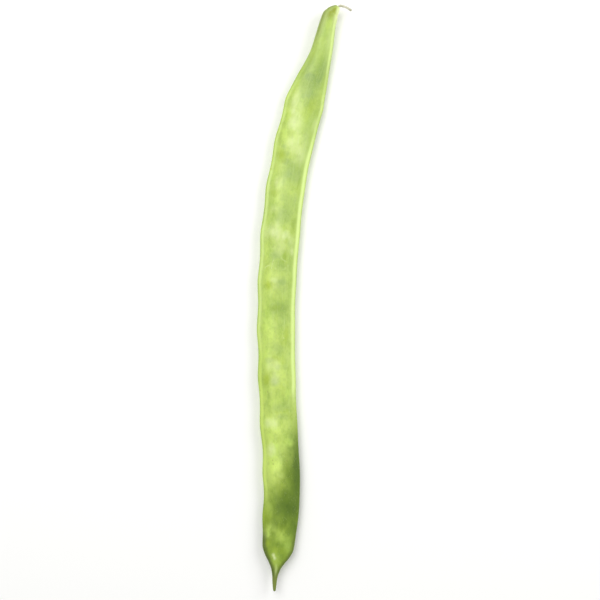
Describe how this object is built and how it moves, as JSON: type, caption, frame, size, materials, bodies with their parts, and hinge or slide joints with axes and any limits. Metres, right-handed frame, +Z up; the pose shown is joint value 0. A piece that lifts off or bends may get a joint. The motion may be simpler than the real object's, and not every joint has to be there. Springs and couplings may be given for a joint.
{
  "type": "flat green bean",
  "caption": "Long flat green bean pod lying on its side, with seed swellings, a thin beak and a blunt stem end with a dry stalk.",
  "frame": {"origin": "on the resting surface, under the centre of the bean's box", "axes": "+X across the pod, on the side that the stem end bends to; +Y along the pod, from the beak to the stem end; +Z up"},
  "size_m": [0.0404, 0.2476, 0.0078],
  "materials": {
    "pod_skin": "fresh bean skin: satin, mottled light green with paler sutures and waxy patches",
    "dry_stalk": "dried plant fibre: matt grey-brown"
  },
  "bodies": {
    "root": {"pod": "pod_skin", "dry_stalk": "dry_stalk"}
  },
  "joints": []
}
